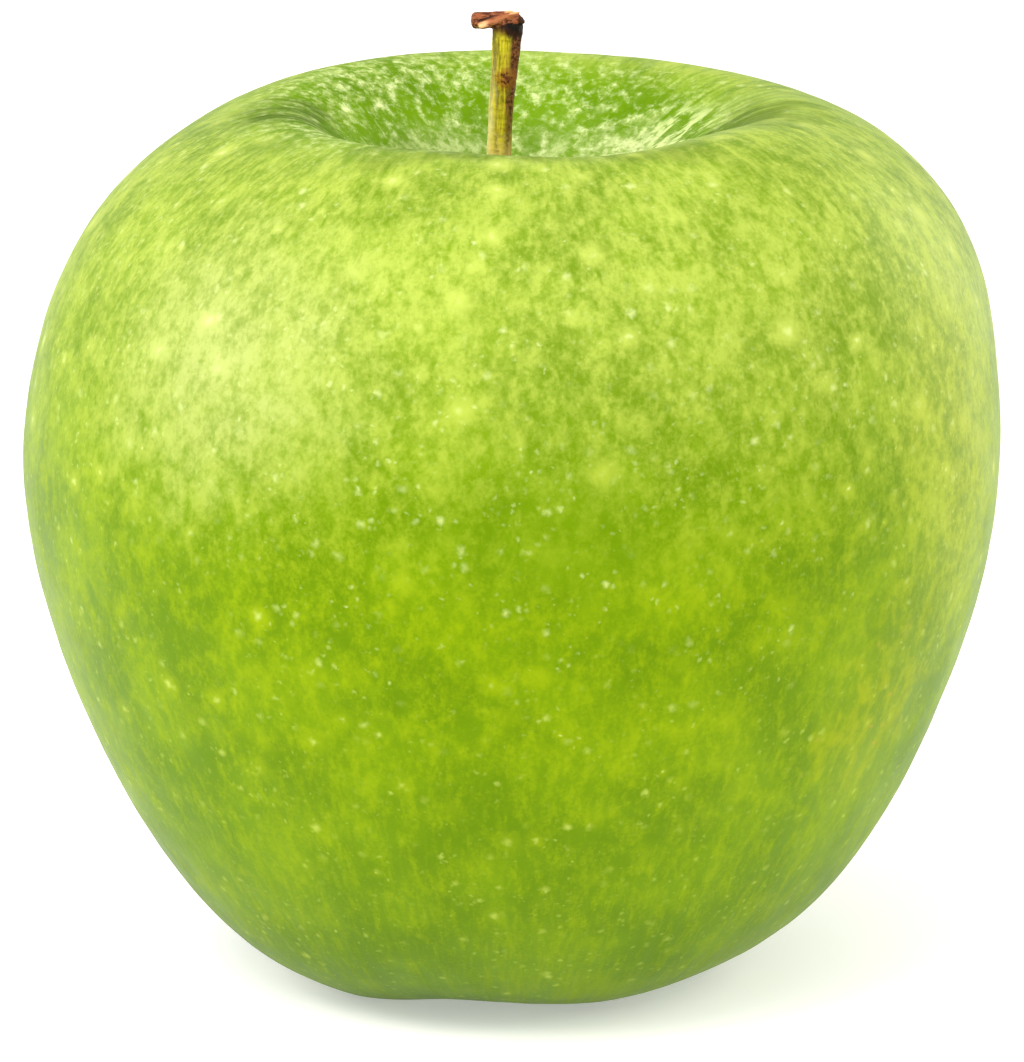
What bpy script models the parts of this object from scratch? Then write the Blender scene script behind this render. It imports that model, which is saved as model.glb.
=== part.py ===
"""A whole green apple standing on its base, with its stem and the dried calyx in the basin underneath.

Units are metres and +Z is up. The origin is on the ground under the middle of the fruit's outline, and the
front of the fruit faces -Y. The fruit is one solid: an outline swept round the core's axis, whose crown and
base rise and fall over uneven lobes. The stem stands in a socket in the cavity floor, and five sepals hang
round the stamens at the mouth of the calyx tube.
"""

import math

import bmesh
import bpy
import numpy as np
from mathutils import Matrix, Vector

MM = 0.001
CLEARANCE = 0.3 * MM  # gap left between pieces that touch

# Fruit
FRUIT_RADIUS = 40.0 * MM  # at the belly
BELLY_HEIGHT = 46.1 * MM
CREST_HEIGHT = 72.3 * MM
CREST_RADIUS = 22.2 * MM
CAVITY_DEPTH = 12.0 * MM
FOOT_RADIUS = 13.3 * MM  # of the ring that the base lobes stand on
BASIN_DEPTH = 7.0 * MM
FRUIT_SEGMENTS = 80
FRUIT_RINGS = 56
FOOT_DETAIL = 2.0  # how much closer the rings lie where the base lobes are
OUTLINE_FINENESS = 12  # points read from the outline's curve for each station

# How far the middle of each ring lies to the right of the belly's
STEM_OFFSET = -1.3 * MM
CREST_OFFSET = 1.9 * MM
BASE_OFFSET = -0.3 * MM

# Lobes: heights at ten bearings, 36 degrees apart, with a lobe and a valley by turns. The ground cuts off
# what lies below it, which leaves the flat spots that the fruit stands on.
CROWN_START = math.radians(-40)
CROWN_HEIGHTS = [h * MM for h in (0.65, -0.15, -0.45, 0.0, 0.25, 0.45, -0.3, -0.4, 0.15, -0.25)]
BASE_START = math.radians(-66)
BASE_HEIGHTS = [h * MM for h in (0.2, 0.45, -0.35, 0.6, -0.35, 0.5, -0.35, 0.55, -0.45, 0.7)]
CROWN_RIB = 0.2 * MM  # how far the lobes stand out sideways
BASE_RIB = 0.3 * MM

# Stem
STEM_RADIUS = 1.03 * MM  # at its waist
STEM_FLARE = 1.2  # how much wider its foot is than its waist
STEM_HEIGHT = 19.2 * MM  # from the cavity floor to the top of the neck
STEM_LEAN = 1.0 * MM
SOCKET_DEPTH = 2.2 * MM
KNOB_LENGTH = 4.4 * MM
KNOB_THICKNESS = 1.5 * MM
KNOB_WIDTH = 2.3 * MM
KNOB_OVERHANG = 2.2 * MM  # how far the knob reaches to the left of the stem's foot
STEM_ROUNDNESS = 0.95  # its depth over its width
STEM_SIDES = 20
STEM_RINGS = 18
WOOD_RIDGE = 0.03  # height of the ridges along the wood, over its radius

# Calyx
TUBE_RADIUS = 1.9 * MM
TUBE_DEPTH = 3.0 * MM
SEPAL_COUNT = 5
SEPAL_LENGTH = 4.4 * MM  # from its root down to its tip
SEPAL_WIDTH = 2.3 * MM
SEPAL_THICKNESS = 0.45 * MM
SEPAL_SETBACK = 0.65 * MM  # from the tube's edge to the middle of a sepal's root
SEPAL_SIDES = 12
SEPAL_RINGS = 11
TUFT_GAP = 0.7 * MM  # room between the stamens and the tube's wall
TUFT_LENGTH = 5.0 * MM
TUFT_SIDES = 16
TUFT_RINGS = 9
TUFT_RIDGE = 0.06

# Colours
SKIN_GREEN = (0.36, 0.52, 0.02)
STEM_OLIVE = (0.26, 0.20, 0.04)
SEPAL_BROWN = (0.14, 0.10, 0.05)
TUFT_BROWN = (0.06, 0.035, 0.02)


def clear_scene():
    for thing in list(bpy.data.objects):
        bpy.data.objects.remove(thing, do_unlink=True)


def make_material(name, colour, roughness):
    material = bpy.data.materials.new(name)
    material.use_nodes = True
    shader = material.node_tree.nodes["Principled BSDF"]
    shader.inputs["Base Color"].default_value = (*colour, 1.0)
    shader.inputs["Roughness"].default_value = roughness
    shader.inputs["Metallic"].default_value = 0.0
    return material


def make_object(name, bm, material, parent):
    """Turns a bmesh into a smooth-shaded object that stands on the parent."""
    bmesh.ops.recalc_face_normals(bm, faces=bm.faces)
    mesh = bpy.data.meshes.new(name)
    bm.to_mesh(mesh)
    bm.free()
    mesh.shade_smooth()
    mesh.materials.append(material)
    thing = bpy.data.objects.new(name, mesh)
    thing.parent = parent
    bpy.context.collection.objects.link(thing)
    return thing


def smooth_curve(stations, samples):
    """Runs a natural cubic spline through the rows of stations, and reads it at evenly spaced samples."""
    rows = np.asarray(stations, float)
    count = len(rows)
    system = np.eye(count)
    bend = np.zeros_like(rows)
    for i in range(1, count - 1):
        system[i, i - 1 : i + 2] = (1, 4, 1)
        bend[i] = 6 * (rows[i + 1] - 2 * rows[i] + rows[i - 1])
    bend = np.linalg.solve(system, bend)
    at = np.linspace(0, count - 1, samples)
    span = np.minimum(at.astype(int), count - 2)
    share = (at - span)[:, None]
    left, right = rows[span], rows[span + 1]
    curve = (1 - share) * left + share * right
    curve += ((1 - share) ** 3 - (1 - share)) * bend[span] / 6
    return curve + (share**3 - share) * bend[span + 1] / 6


def even_steps(curve, samples):
    """Reads a dense outline again at even steps, which shorten where the base lobes are."""
    steps = np.hypot(np.diff(curve[:, 0]), np.diff(curve[:, 1]))
    steps *= 1 + FOOT_DETAIL * curve[1:, -1]
    length = np.concatenate([[0], np.cumsum(steps)])
    at = np.linspace(0, length[-1], samples)
    return np.stack([np.interp(at, length, column) for column in curve.T], axis=1)


def wave(bearing, heights, start):
    """Height at a bearing, easing from each listed height to the next, all the way round."""
    count = len(heights)
    place = (bearing - start) / (2 * math.pi) * count % count
    low = int(place)
    ease = (1 - math.cos(math.pi * (place - low))) / 2
    return heights[low % count] * (1 - ease) + heights[(low + 1) % count] * ease


def socket_radius():
    return STEM_RADIUS * STEM_FLARE + CLEARANCE


def fruit_outline():
    """Rows of radius, height, ring offset, and the shares of the crown's and the base's lobes, top to bottom.

    Each station lies between two key points of the outline. Its shares say how far along it is, outwards or
    inwards and up or down.
    """
    cavity = np.array((socket_radius(), CREST_HEIGHT - CAVITY_DEPTH, STEM_OFFSET))
    crest = np.array((CREST_RADIUS, CREST_HEIGHT, CREST_OFFSET))
    belly = np.array((FRUIT_RADIUS, BELLY_HEIGHT, 0.0))
    foot = np.array((FOOT_RADIUS, 0.0, BASE_OFFSET))
    basin = np.array((TUBE_RADIUS, BASIN_DEPTH, BASE_OFFSET))
    stations = (
        # from, to, share sideways, share up or down, crown lobes, base lobes
        (cavity, crest, 0.00, 0.00, 0.00, 0.00),
        (cavity, crest, 0.10, 0.04, 0.00, 0.00),
        (cavity, crest, 0.34, 0.37, 0.25, 0.00),
        (cavity, crest, 0.58, 0.70, 0.85, 0.00),
        (cavity, crest, 0.79, 0.94, 1.00, 0.00),
        (crest, belly, 0.00, 0.00, 1.00, 0.00),
        (crest, belly, 0.45, 0.145, 0.93, 0.00),
        (crest, belly, 0.83, 0.48, 0.45, 0.00),
        (belly, foot, 0.00, 0.00, 0.03, 0.00),
        (belly, foot, 0.05, 0.28, 0.00, 0.00),
        (belly, foot, 0.225, 0.575, 0.00, 0.05),
        (belly, foot, 0.585, 0.89, 0.00, 0.40),
        (foot, basin, 0.00, 0.00, 0.00, 1.00),
        (foot, basin, 0.32, 0.28, 0.00, 0.45),
        (foot, basin, 0.72, 0.82, 0.00, 0.10),
        (foot, basin, 0.93, 0.98, 0.00, 0.00),
        (foot, basin, 1.00, 1.00, 0.00, 0.00),
    )
    rows = []
    for start, end, sideways, updown, crown, base in stations:
        shares = np.array((sideways, updown, updown))
        rows.append((*(start + (end - start) * shares), crown, base))
    return even_steps(smooth_curve(rows, OUTLINE_FINENESS * len(rows)), FRUIT_RINGS)


def fruit_rings():
    """All the rings of the fruit's surface as lists of points, from the stem socket to the calyx tube."""
    bearings = [2 * math.pi * i / FRUIT_SEGMENTS for i in range(FRUIT_SEGMENTS)]
    crown = [wave(b, CROWN_HEIGHTS, CROWN_START) for b in bearings]
    base = [wave(b, BASE_HEIGHTS, BASE_START) for b in bearings]
    crown_rib = [CROWN_RIB * math.cos(5 * (b - CROWN_START)) for b in bearings]
    base_rib = [BASE_RIB * math.cos(5 * (b - BASE_START)) for b in bearings]
    rings = []
    for radius, height, offset, crown_share, base_share in fruit_outline():
        ring = []
        for i, bearing in enumerate(bearings):
            reach = radius + crown_share * crown_rib[i] + base_share * base_rib[i]
            level = height + crown_share * crown[i] + base_share * base[i]
            x = offset + reach * math.cos(bearing)
            y = reach * math.sin(bearing)
            ring.append(Vector((x, y, max(level, 0.0))))
        rings.append(ring)
    return rings


def moved(ring, drop):
    return [Vector((p.x, p.y, p.z + drop)) for p in ring]


def skin_rings(bm, rings):
    """Joins rings of equally many points into a closed body, with a fan over each end."""
    made = [[bm.verts.new(p) for p in ring] for ring in rings]
    for upper, lower in zip(made, made[1:]):
        for i, corner in enumerate(upper):
            j = (i + 1) % len(upper)
            bm.faces.new((corner, upper[j], lower[j], lower[i]))
    for ring in (made[0], made[-1]):
        middle = bm.verts.new(sum((v.co for v in ring), Vector()) / len(ring))
        for i, corner in enumerate(ring):
            bm.faces.new((corner, ring[(i + 1) % len(ring)], middle))


def outline_middle(rings):
    """Half way between the fruit's outermost points, along X and along Y."""
    xs = [p.x for ring in rings for p in ring]
    ys = [p.y for ring in rings for p in ring]
    return Vector(((min(xs) + max(xs)) / 2, (min(ys) + max(ys)) / 2, 0.0))


def make_fruit(rings, parent):
    socket = moved(rings[0], -SOCKET_DEPTH)
    tube = moved(rings[-1], TUBE_DEPTH)
    bm = bmesh.new()
    skin_rings(bm, [socket, *rings, tube])
    return make_object("fruit", bm, make_material("skin", SKIN_GREEN, 0.35), parent)


def oval(middle, across, through, sides, ridge=0.0):
    """A ring of points round middle, with two half-axis vectors and shallow ridges."""
    ring = []
    for i in range(sides):
        turn = 2 * math.pi * i / sides
        swell = 1 + ridge * math.cos(3 * turn) + ridge * math.sin(5 * turn)
        ring.append(middle + across * math.cos(turn) * swell + through * math.sin(turn) * swell)
    return ring


def make_knob(height, parent):
    """The torn bark at the stem's tip, lying across it: a guide body that the stem takes in by a union."""
    left = -KNOB_OVERHANG
    stations = (
        # share of the length, share of the thickness, share of the width, lift
        (0.00, 0.45, 0.45, 0.00),
        (0.12, 1.00, 0.78, 0.00),
        (0.35, 0.92, 0.88, -0.05),
        (0.60, 0.92, 1.00, 0.00),
        (0.85, 1.05, 0.95, 0.12),
        (1.00, 0.50, 0.45, 0.02),
    )
    rings = []
    for along, thick, wide, lift in stations:
        middle = Vector((left + along * KNOB_LENGTH, 0.0, height + lift * KNOB_THICKNESS))
        across = Vector((0.0, wide * KNOB_WIDTH / 2, 0.0))
        through = Vector((0.0, 0.0, thick * KNOB_THICKNESS / 2))
        rings.append(oval(middle, across, through, STEM_SIDES, WOOD_RIDGE))
    bm = bmesh.new()
    skin_rings(bm, rings)
    knob = make_object("knob_guide", bm, make_material("bark", STEM_OLIVE, 0.8), parent)
    knob.hide_render = True
    knob.display_type = "WIRE"
    return knob


def make_stem(parent):
    """A woody stalk that leans to the right, from the foot in its socket to the knob across its tip."""
    floor = CREST_HEIGHT - CAVITY_DEPTH
    foot = Vector((STEM_OFFSET, 0.0, floor))
    stations = (
        # share of the height, share of the lean, share of the radius
        (0.00, 0.00, STEM_FLARE),
        (0.09, 0.02, 0.97 * STEM_FLARE),
        (0.25, 0.10, 1.03),
        (0.45, 0.22, 1.00),
        (0.60, 0.38, 1.00),
        (0.74, 0.60, 1.04),
        (0.88, 0.80, 1.18),
        (0.96, 0.95, 1.26),
        (1.00, 1.00, 1.10),
    )
    rows = [(lean * STEM_LEAN, height * STEM_HEIGHT, reach * STEM_RADIUS) for height, lean, reach in stations]
    end = Vector((0.0, 0.0, CLEARANCE - SOCKET_DEPTH))
    rings = [oval(end, *stem_axes(STEM_FLARE * STEM_RADIUS), STEM_SIDES)]
    for lean, height, radius in smooth_curve(rows, STEM_RINGS):
        middle = Vector((lean, 0.0, height))
        ridge = WOOD_RIDGE * min(1.0, height / STEM_RADIUS)
        rings.append(oval(middle, *stem_axes(radius), STEM_SIDES, ridge))
    bm = bmesh.new()
    skin_rings(bm, rings)
    stem = make_object("stem", bm, make_material("stem_wood", STEM_OLIVE, 0.7), parent)
    stem.location = foot
    union = stem.modifiers.new("knob", "BOOLEAN")
    union.operation = "UNION"
    union.solver = "EXACT"
    union.object = make_knob(STEM_HEIGHT - KNOB_THICKNESS / 3, stem)
    return stem


def stem_axes(radius):
    """Half-axis vectors of a level section of the stem."""
    return Vector((radius, 0.0, 0.0)), Vector((0.0, radius * STEM_ROUNDNESS, 0.0))


def make_sepal(index, parent):
    """A dried sepal hanging from the basin floor: it draws in, then its tip turns out."""
    root = BASIN_DEPTH - CLEARANCE - SEPAL_THICKNESS / 2
    root_radius = TUBE_RADIUS + SEPAL_SETBACK
    stations = (
        # share of the length down, outward reach in sepal lengths, share of the width
        (0.00, 0.00, 0.80),
        (0.25, -0.05, 1.00),
        (0.50, -0.04, 0.90),
        (0.75, 0.07, 0.62),
        (0.92, 0.22, 0.30),
        (1.00, 0.34, 0.12),
    )
    curve = smooth_curve(stations, SEPAL_RINGS)
    rings = []
    for i, (down, reach, width) in enumerate(curve):
        before, after = curve[max(i - 1, 0)], curve[min(i + 1, len(curve) - 1)]
        along = Vector((after[1] - before[1], 0.0, before[0] - after[0])).normalized()
        out = along.cross(Vector((0.0, 1.0, 0.0)))
        middle = Vector((root_radius + reach * SEPAL_LENGTH, 0.0, root - down * SEPAL_LENGTH))
        across = Vector((0.0, width * SEPAL_WIDTH / 2, 0.0))
        rings.append(oval(middle, across, out * SEPAL_THICKNESS / 2, SEPAL_SIDES))
    bm = bmesh.new()
    skin_rings(bm, rings)
    name = f"sepal_{index + 1}"
    sepal = make_object(name, bm, make_material(name, SEPAL_BROWN, 0.85), parent)
    bearing = BASE_START + 2 * math.pi * index / SEPAL_COUNT
    sepal.matrix_local = Matrix.Translation((BASE_OFFSET, 0.0, 0.0)) @ Matrix.Rotation(bearing, 4, "Z")
    return sepal


def make_tuft(parent):
    """The dried stamens: a ridged clump that stands in the calyx tube and spreads a little below it."""
    top = BASIN_DEPTH + TUBE_DEPTH - CLEARANCE
    stations = (
        # share of the length down, share of the radius
        (0.00, 0.75),
        (0.45, 0.80),
        (0.75, 1.00),
        (0.95, 0.90),
        (1.00, 0.60),
    )
    rings = []
    for down, share in smooth_curve(stations, TUFT_RINGS):
        middle = Vector((0.0, 0.0, top - down * TUFT_LENGTH))
        reach = share * (TUBE_RADIUS - TUFT_GAP)
        across, through = Vector((reach, 0.0, 0.0)), Vector((0.0, reach, 0.0))
        rings.append(oval(middle, across, through, TUFT_SIDES, TUFT_RIDGE))
    bm = bmesh.new()
    skin_rings(bm, rings)
    tuft = make_object("stamen_tuft", bm, make_material("stamens", TUFT_BROWN, 0.95), parent)
    tuft.location = Vector((BASE_OFFSET, 0.0, 0.0))
    return tuft


def main():
    clear_scene()
    rings = fruit_rings()
    apple = bpy.data.objects.new("apple", None)
    apple.location = -outline_middle(rings)
    bpy.context.collection.objects.link(apple)
    make_fruit(rings, apple)
    make_stem(apple)
    for index in range(SEPAL_COUNT):
        make_sepal(index, apple)
    make_tuft(apple)


main()
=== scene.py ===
"""The looks of a whole green apple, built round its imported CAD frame: skin, stem, calyx, floor and light."""

import math

import bmesh
import bpy
import numpy as np
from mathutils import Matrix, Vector, noise
from mathutils.bvhtree import BVHTree


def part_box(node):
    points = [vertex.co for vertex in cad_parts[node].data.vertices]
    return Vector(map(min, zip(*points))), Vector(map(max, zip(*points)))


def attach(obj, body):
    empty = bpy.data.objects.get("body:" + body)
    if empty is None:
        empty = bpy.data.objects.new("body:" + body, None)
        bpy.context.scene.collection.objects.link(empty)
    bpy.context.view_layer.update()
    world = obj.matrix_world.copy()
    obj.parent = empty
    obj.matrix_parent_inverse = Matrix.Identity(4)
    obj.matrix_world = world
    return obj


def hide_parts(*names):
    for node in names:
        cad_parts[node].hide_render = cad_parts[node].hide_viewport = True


MM = 0.001
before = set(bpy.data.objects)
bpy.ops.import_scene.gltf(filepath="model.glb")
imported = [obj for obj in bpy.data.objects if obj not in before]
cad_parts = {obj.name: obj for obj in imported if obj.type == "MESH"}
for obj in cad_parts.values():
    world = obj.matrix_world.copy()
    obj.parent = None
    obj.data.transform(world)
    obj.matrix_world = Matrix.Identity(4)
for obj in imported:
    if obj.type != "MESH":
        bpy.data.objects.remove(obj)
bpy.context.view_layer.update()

# ---------------------------------------------------------------- helpers


def points_of(thing):
    """The mesh's vertices, in millimetres."""
    co = np.empty(3 * len(thing.data.vertices))
    thing.data.vertices.foreach_get("co", co)
    return co.reshape(-1, 3) / MM


def add_piece(name, mesh, material, slot, *nodes):
    """Shows a new mesh on the root body, in place of CAD nodes."""
    mesh.shade_smooth()
    mesh.materials.append(material)
    piece = bpy.data.objects.new(name, mesh)
    bpy.context.scene.collection.objects.link(piece)
    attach(piece, "root")
    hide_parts(*nodes)


def fractal(x, y, z, octaves=3):
    """Noise about zero, with each octave half as strong as the last."""
    total, strength, size = 0.0, 1.0, 1.0
    for _ in range(octaves):
        total += strength * noise.noise(Vector((x * size, y * size, z * size)))
        strength /= 2
        size *= 2.1
    return total


def ease(value, low, high):
    """0 below low, 1 above high, and a smooth step between; low may be above high."""
    t = np.clip((value - low) / (high - low), 0.0, 1.0)
    return t * t * (3 - 2 * t)


# ---------------------------------------------------------------- node materials


class Look:
    """A node material that is being built."""

    def __init__(self, name):
        self.material = bpy.data.materials.new(name)
        self.material.use_nodes = True
        self.tree = self.material.node_tree
        self.shader = self.tree.nodes["Principled BSDF"]
        self.position = self.node("ShaderNodeTexCoord", out="Object")
        self.mm = self.vector("SCALE", self.position, scale=1 / MM)

    def feed(self, socket, value):
        """Links a socket to another socket, or sets it to a plain value."""
        if isinstance(value, bpy.types.NodeSocket):
            self.tree.links.new(value, socket)
        else:
            socket.default_value = value

    def node(self, kind, values=None, out=0, **settings):
        """Adds a node, feeds its inputs and returns one of its outputs."""
        made = self.tree.nodes.new(kind)
        for key, value in settings.items():
            setattr(made, key, value)
        for key, value in (values or {}).items():
            self.feed(made.inputs[key], value)
        return made.outputs[out]

    def vector(self, operation, a, b=None, scale=None):
        values = {0: a}
        if b is not None:
            values[1] = b
        if scale is not None:
            values["Scale"] = scale
        return self.node("ShaderNodeVectorMath", values, operation=operation)

    def math(self, operation, a, b=0.0, c=0.0):
        return self.node("ShaderNodeMath", {0: a, 1: b, 2: c}, operation=operation)

    def split(self, vector):
        made = self.tree.nodes.new("ShaderNodeSeparateXYZ")
        self.feed(made.inputs[0], vector)
        return made.outputs[0], made.outputs[1], made.outputs[2]

    def join(self, x, y, z):
        return self.node("ShaderNodeCombineXYZ", {0: x, 1: y, 2: z})

    def step(self, value, low, high, to_low=0.0, to_high=1.0):
        """A smooth step of value from low to high."""
        values = {0: value, 1: low, 2: high, 3: to_low, 4: to_high}
        return self.node("ShaderNodeMapRange", values, interpolation_type="SMOOTHSTEP")

    def noise(self, vector, scale, detail=2.0, roughness=0.5, distortion=0.0):
        values = {"Vector": vector, "Scale": scale, "Detail": detail, "Roughness": roughness}
        values["Distortion"] = distortion
        return self.node("ShaderNodeTexNoise", values)

    def mix(self, factor, a, b):
        """Colour a where the factor is 0 and colour b where it is 1."""
        return self.node("ShaderNodeMix", {0: factor, 6: a, 7: b}, out=2, data_type="RGBA")

    def bump(self, height, strength, distance):
        """A normal bent by a height. The distance is in millimetres."""
        values = {"Height": height, "Strength": strength, "Distance": distance * MM}
        return self.node("ShaderNodeBump", values)

    def finish(self, **sockets):
        """Feeds the shader, whose socket names have underscores here instead of spaces."""
        for key, value in sockets.items():
            self.feed(self.shader.inputs[key.replace("_", " ")], value)
        return self.material


def colour(red, green, blue):
    """A display colour, 0 to 255, as a linear one."""
    shares = [c / 255 for c in (red, green, blue)]
    return (*[s / 12.92 if s <= 0.04045 else ((s + 0.055) / 1.055) ** 2.4 for s in shares], 1.0)


# ---------------------------------------------------------------- fruit

SKIN_COLUMNS = 352
SKIN_ROWS = 250
RAY_ROWS = 720  # rays down the outline that find where the rows go
ROW_PASSES, COLUMN_PASSES = 8, 6  # how often the ray-cast skin is evened out
MIDDLE_HEIGHT = 38.0  # where the rays start, in millimetres
HOLE_MARGIN = 0.12  # how far outside a hole's wall the skin starts
CAVITY_REACH = 24.0  # how far from the stem the cavity's creases and colours begin

# Oval patches of skin, middle and half sizes in millimetres: the skin's own colours, and painted highlight,
# light and shade
# Painted highlight: paler skin on the upper left, where the glare lamp's highlight falls
PAINTED_HIGHLIGHT_PATCH = (-22.0, -28.0, 57.5), (19.0, 19.0, 17.0)
# Painted shade: a darker patch on the front, facing the camera
FRONT_SHADE_PATCH = (3.0, -38.0, 46.0), (15.0, 15.0, 10.0)
# Painted light: paler, yellower skin on the right flank, lit from the side
RIGHT_LIGHT_PATCH = (35.0, -17.0, 45.0), (10.0, 16.0, 24.0)
FLUSH = (30.0, -24.0, 27.0), (9.0, 9.0, 13.0)
DRAWN_STRANDS = (13.0, 4.5, 69.3), (6.0, 7.5, 4.0)
HAZE_RIGHT = (9.5, 7.5, 67.3), (4.5, 4.5, 3.5)
HAZE_LEFT = (-6.0, 9.0, 67.2), (4.5, 4.5, 4.0)
# Painted shade: darker green on the cavity's shoulders and along its near rim, where light only grazes
SHADED_SHOULDER_LEFT = (-17.0, -0.5, 71.5), (8.0, 8.0, 5.0)
SHADED_SHOULDER_RIGHT = (19.0, -2.0, 71.5), (9.0, 9.0, 5.0)
SHADED_RIM_FRONT = (2.0, -19.0, 72.0), (20.0, 4.0, 4.0)


def end_ring(points, level):
    """Centre, radius and rim height of the round hole that ends at a level."""
    near = points[(np.hypot(points[:, 0], points[:, 1]) < 5.0) & (abs(points[:, 2] - level) < 6.0)]
    ring = near[abs(near[:, 2] - level) < 0.06]
    centre = (ring.min(0) + ring.max(0)) / 2
    radius = np.hypot(*(ring - centre)[:, :2].T).max()
    wall = near[np.hypot(*(near - centre)[:, :2].T) < radius + 0.05]
    rim = wall[abs(wall[:, 2] - level) > 0.5][:, 2]
    return centre, radius, rim.mean()


def directions(turns, slopes, top, bottom):
    """Unit rays from the fruit's middle whose poles pass through the two holes."""
    turn, slope = np.meshgrid(turns, slopes)
    upper = np.cos(slope) * ease(slope, math.radians(55), 0.0)
    lower = np.cos(slope) * ease(slope, math.radians(125), math.pi)
    across = np.sin(slope)
    x = across * np.cos(turn) + upper * top[0] / (top[2] - MIDDLE_HEIGHT)
    x += lower * bottom[0] / (bottom[2] - MIDDLE_HEIGHT)
    rays = np.stack([x, across * np.sin(turn), np.cos(slope)], axis=2)
    return rays / np.linalg.norm(rays, axis=2, keepdims=True)


def cast(tree, rays):
    """How far each ray runs from the middle to the CAD skin."""
    middle = Vector((0, 0, MIDDLE_HEIGHT))
    reach = np.empty(rays.shape[:2])
    for index in np.ndindex(*reach.shape):
        reach[index] = tree.ray_cast(middle, Vector(rays[index]))[3]
    return reach


def smooth_rows(field, passes):
    """Evens a field out from row to row, and keeps its slope at both ends."""
    for _ in range(passes):
        before = np.vstack([2 * field[:1] - field[1:2], field[:-1]])
        after = np.vstack([field[1:], 2 * field[-1:] - field[-2:-1]])
        field = (before + 2 * field + after) / 4
    return field


def smooth_columns(field, passes):
    """Evens a field out round the fruit."""
    for _ in range(passes):
        field = (np.roll(field, 1, 1) + 2 * field + np.roll(field, -1, 1)) / 4
    return field


def even_slopes(tree, top, bottom, low, high):
    """Ray slopes that step evenly along the fruit's outline."""
    turns = np.linspace(0, 2 * math.pi, 8, endpoint=False)
    slopes = np.linspace(low, high, RAY_ROWS)
    rays = directions(turns, slopes, top, bottom)
    points = rays * cast(tree, rays)[..., None]
    steps = np.linalg.norm(np.diff(points, axis=0), axis=2).mean(1)
    length = np.concatenate([[0], np.cumsum(steps)])
    return np.interp(np.linspace(0, length[-1], SKIN_ROWS), length, slopes)


def shape_skin(points, cavity):
    """Small unevenness over the whole skin, and shallow creases that run down into the cavity."""
    shaped = points.copy()
    for i in range(points.shape[0]):
        for j in range(points.shape[1]):
            x, y, z = points[i, j]
            away = Vector((x, y, z - MIDDLE_HEIGHT)).normalized()
            shift = 0.16 * fractal(x * 0.07, y * 0.07, z * 0.07, 2)
            shift += 0.03 * fractal(x * 0.35, y * 0.35, z * 0.25, 2)
            reach = math.hypot(x - cavity[0], y - cavity[1])
            if z > 58 and reach < CAVITY_REACH:
                bearing = math.atan2(y - cavity[1], x - cavity[0])
                depth = float(ease(reach, CAVITY_REACH, 9.0) * ease(reach, 1.5, 4.0))
                crease = noise.noise(Vector((4.2 * math.cos(bearing), 4.2 * math.sin(bearing), reach * 0.06)))
                shift -= 0.22 * depth * abs(crease)
            shaped[i, j] += np.array(away) * (shift - 0.1)
    shaped[..., 2] = np.maximum(shaped[..., 2], 0.0)
    return shaped


def make_fruit():
    """The skin, ray-cast from the CAD fruit, with its two holes. Returns the mouth of the stem's socket."""
    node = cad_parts["fruit"]
    points = points_of(node)
    tree = BVHTree.FromPolygons(points.tolist(), [p.vertices[:] for p in node.data.polygons])
    socket_floor = points[(np.hypot(points[:, 0], points[:, 1]) < 3.5) & (points[:, 2] > 50)][:, 2].min()
    tube_roof = points[(np.hypot(points[:, 0], points[:, 1]) < 3.5) & (points[:, 2] < 20)][:, 2].max()
    socket, socket_radius, socket_rim = end_ring(points, socket_floor)
    tube, tube_radius, tube_rim = end_ring(points, tube_roof)
    top = np.array((socket[0], socket[1], socket_rim))
    bottom = np.array((tube[0], tube[1], tube_rim))
    low = math.atan((socket_radius + HOLE_MARGIN) / (top[2] - MIDDLE_HEIGHT))
    high = math.pi - math.atan((tube_radius + HOLE_MARGIN) / (MIDDLE_HEIGHT - bottom[2]))
    turns = np.linspace(0, 2 * math.pi, SKIN_COLUMNS, endpoint=False)
    slopes = even_slopes(tree, top, bottom, low, high)
    rays = directions(turns, slopes, top, bottom)
    reach = smooth_columns(smooth_rows(cast(tree, rays), ROW_PASSES), COLUMN_PASSES)
    skin = rays * reach[..., None]
    skin[..., 2] += MIDDLE_HEIGHT
    skin = shape_skin(skin, top)

    round_x, round_y = np.cos(turns), np.sin(turns)

    def ring(centre, radius, height):
        flat = np.full(SKIN_COLUMNS, float(height))
        return np.stack([centre[0] + radius * round_x, centre[1] + radius * round_y, flat], axis=1)[None]

    socket_rings = [ring(socket, socket_radius, z) for z in (socket[2], socket[2] + 1.0, socket_rim - 0.15)]
    tube_rings = [ring(tube, tube_radius, z) for z in (tube_rim + 0.15, tube_rim + 1.2, tube[2])]
    grid = np.concatenate([*socket_rings, skin, *tube_rings])
    rows = len(grid)
    vertices = np.concatenate([grid.reshape(-1, 3), [socket, tube]]) * MM
    faces = []
    for i in range(rows - 1):
        here, below = i * SKIN_COLUMNS, (i + 1) * SKIN_COLUMNS
        for j in range(SKIN_COLUMNS):
            k = (j + 1) % SKIN_COLUMNS
            faces.append((here + j, below + j, below + k, here + k))
    last = (rows - 1) * SKIN_COLUMNS
    for j in range(SKIN_COLUMNS):
        k = (j + 1) % SKIN_COLUMNS
        faces.append((rows * SKIN_COLUMNS, j, k))
        faces.append((last + j, rows * SKIN_COLUMNS + 1, last + k))
    mesh = bpy.data.meshes.new("apple_skin")
    mesh.from_pydata(vertices.tolist(), [], faces)
    mesh.update()
    add_piece("apple_skin", mesh, skin_look(top), "skin", "fruit")
    return top


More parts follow.
